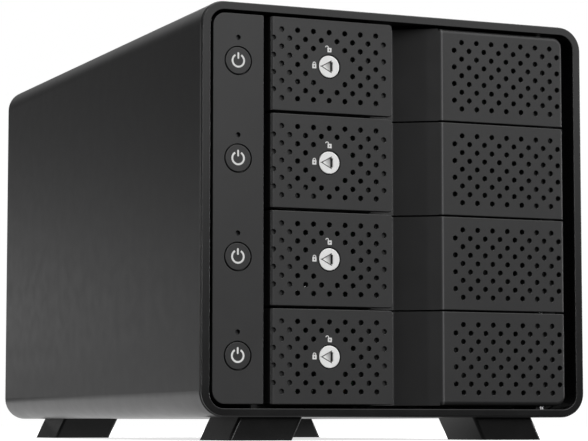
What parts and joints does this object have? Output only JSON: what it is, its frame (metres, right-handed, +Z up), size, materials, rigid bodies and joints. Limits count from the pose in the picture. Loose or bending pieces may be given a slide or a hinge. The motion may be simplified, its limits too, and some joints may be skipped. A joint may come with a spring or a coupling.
{
  "type": "nas enclosure",
  "caption": "Desktop enclosure for disk drives: sleeve body on raked feet, hinged perforated doors with key-locked levers, power buttons and rear fan.",
  "frame": {"origin": "centre of the footprint, on the plane that the feet stand on", "axes": "+X to the right seen from the front, +Y from the front doors to the rear panel, +Z up"},
  "size_m": [0.1588, 0.2506, 0.1606],
  "materials": {
    "door_plastic": "fine matte texture, moulded black",
    "front_plastic": "fine matte texture, moulded black",
    "frame_plastic": "smooth satin, moulded black",
    "inner_plastic": "plain moulded black",
    "sleeve_paint": "bead blasted, black anodised aluminium",
    "panel_paint": "fine black powder coat",
    "foot_rubber": "matte black",
    "lock_ivory": "satin off-white moulded",
    "cage_steel": "zinc plated sheet",
    "guard_steel": "black dipped wire",
    "bright_steel": "bright plated",
    "screw_steel": "black zinc",
    "circuit_board": "green solder mask",
    "socket_plastic": "black glass-filled nylon",
    "heatsink_aluminium": "anodised fins",
    "capacitor_aluminium": "plain can",
    "light_pipe": "smoked clear polycarbonate",
    "fan_plastic": "glass-filled black",
    "flex_film": "amber polyimide film",
    "lead_sleeve": "black braided sleeve"
  },
  "bodies": {
    "chassis": {"backplane_board": "circuit_board", "board_capacitors": "capacitor_aluminium", "board_chips": "socket_plastic", "board_sockets": "socket_plastic", "board_standoffs": "bright_steel", "bridge_heatsink": "heatsink_aluminium", "button_board": "circuit_board", "button_flex": "flex_film", "button_switches": "socket_plastic", "cage_bottom_plate": "cage_steel", "cage_left_wall": "cage_steel", "cage_right_wall": "cage_steel", "cage_top_plate": "cage_steel", "control_board": "circuit_board", "control_strip": "front_plastic", "drive_rails": "inner_plastic", "fan_frame": "fan_plastic", "fan_guard": "guard_steel", "fan_lead": "lead_sleeve", "fan_screws": "screw_steel", "foot_front_left": "foot_rubber", "foot_front_right": "foot_rubber", "foot_rear_left": "foot_rubber", "foot_rear_right": "foot_rubber", "foot_screws": "screw_steel", "front_frame": "frame_plastic", "hinge_post": "inner_plastic", "hinge_rod": "bright_steel", "latch_post": "inner_plastic", "light_pipes": "light_pipe", "machine_screws": "screw_steel", "outer_sleeve": "sleeve_paint", "power_jack": "socket_plastic", "rear_panel": "panel_paint", "sata_connectors": "socket_plastic", "status_leds": "light_pipe", "strip_screws": "screw_steel", "usb_port": "bright_steel"},
    "door_1": {"door_frame_1": "door_plastic", "door_grille_1": "door_plastic"},
    "lever_body_1": {"lever_1": "door_plastic"},
    "lock_1": {"lock_rotor_1": "lock_ivory"},
    "button_1": {"power_button_1": "front_plastic"},
    "door_2": {"door_frame_2": "door_plastic", "door_grille_2": "door_plastic"},
    "lever_body_2": {"lever_2": "door_plastic"},
    "lock_2": {"lock_rotor_2": "lock_ivory"},
    "button_2": {"power_button_2": "front_plastic"},
    "door_3": {"door_frame_3": "door_plastic", "door_grille_3": "door_plastic"},
    "lever_body_3": {"lever_3": "door_plastic"},
    "lock_3": {"lock_rotor_3": "lock_ivory"},
    "button_3": {"power_button_3": "front_plastic"},
    "door_4": {"door_frame_4": "door_plastic", "door_grille_4": "door_plastic"},
    "lever_body_4": {"lever_4": "door_plastic"},
    "lock_4": {"lock_rotor_4": "lock_ivory"},
    "button_4": {"power_button_4": "front_plastic"},
    "rotor": {"fan_rotor": "fan_plastic"}
  },
  "joints": [
    {"name": "door_1_swing", "type": "hinge", "parent": "chassis", "child": "door_1", "pos_m": [0.0635, -0.1199, 0.1387], "axis": [0, 0, 1], "range_deg": [0, 95]},
    {"name": "lever_1_pull", "type": "hinge", "parent": "door_1", "child": "lever_body_1", "pos_m": [-0.047, -0.1194, 0.1387], "axis": [0, 0, -1], "range_deg": [0, 40]},
    {"name": "lock_1_turn", "type": "hinge", "parent": "lever_body_1", "child": "lock_1", "pos_m": [-0.02833, -0.1209, 0.1387], "axis": [0, 1, 0], "range_deg": [0, 90]},
    {"name": "button_1_press", "type": "slide", "parent": "chassis", "child": "button_1", "axis": [0, 1, 0], "range_m": [0, 0.0008], "stiffness_N_per_m": 1500, "springref_m": -0.0005},
    {"name": "door_2_swing", "type": "hinge", "parent": "chassis", "child": "door_2", "pos_m": [0.0635, -0.1199, 0.1027], "axis": [0, 0, 1], "range_deg": [0, 95]},
    {"name": "lever_2_pull", "type": "hinge", "parent": "door_2", "child": "lever_body_2", "pos_m": [-0.047, -0.1194, 0.1027], "axis": [0, 0, -1], "range_deg": [0, 40]},
    {"name": "lock_2_turn", "type": "hinge", "parent": "lever_body_2", "child": "lock_2", "pos_m": [-0.02833, -0.1209, 0.1027], "axis": [0, 1, 0], "range_deg": [0, 90]},
    {"name": "button_2_press", "type": "slide", "parent": "chassis", "child": "button_2", "axis": [0, 1, 0], "range_m": [0, 0.0008], "stiffness_N_per_m": 1500, "springref_m": -0.0005},
    {"name": "door_3_swing", "type": "hinge", "parent": "chassis", "child": "door_3", "pos_m": [0.0635, -0.1199, 0.0667], "axis": [0, 0, 1], "range_deg": [0, 95]},
    {"name": "lever_3_pull", "type": "hinge", "parent": "door_3", "child": "lever_body_3", "pos_m": [-0.047, -0.1194, 0.0667], "axis": [0, 0, -1], "range_deg": [0, 40]},
    {"name": "lock_3_turn", "type": "hinge", "parent": "lever_body_3", "child": "lock_3", "pos_m": [-0.02833, -0.1209, 0.0667], "axis": [0, 1, 0], "range_deg": [0, 90]},
    {"name": "button_3_press", "type": "slide", "parent": "chassis", "child": "button_3", "axis": [0, 1, 0], "range_m": [0, 0.0008], "stiffness_N_per_m": 1500, "springref_m": -0.0005},
    {"name": "door_4_swing", "type": "hinge", "parent": "chassis", "child": "door_4", "pos_m": [0.0635, -0.1199, 0.0307], "axis": [0, 0, 1], "range_deg": [0, 95]},
    {"name": "lever_4_pull", "type": "hinge", "parent": "door_4", "child": "lever_body_4", "pos_m": [-0.047, -0.1194, 0.0307], "axis": [0, 0, -1], "range_deg": [0, 40]},
    {"name": "lock_4_turn", "type": "hinge", "parent": "lever_body_4", "child": "lock_4", "pos_m": [-0.02833, -0.1209, 0.0307], "axis": [0, 1, 0], "range_deg": [0, 90]},
    {"name": "button_4_press", "type": "slide", "parent": "chassis", "child": "button_4", "axis": [0, 1, 0], "range_m": [0, 0.0008], "stiffness_N_per_m": 1500, "springref_m": -0.0005},
    {"name": "fan_spin", "type": "hinge", "parent": "chassis", "child": "rotor", "pos_m": [0.014, 0.1078, 0.0846], "axis": [0, 1, 0], "continuous": true}
  ]
}
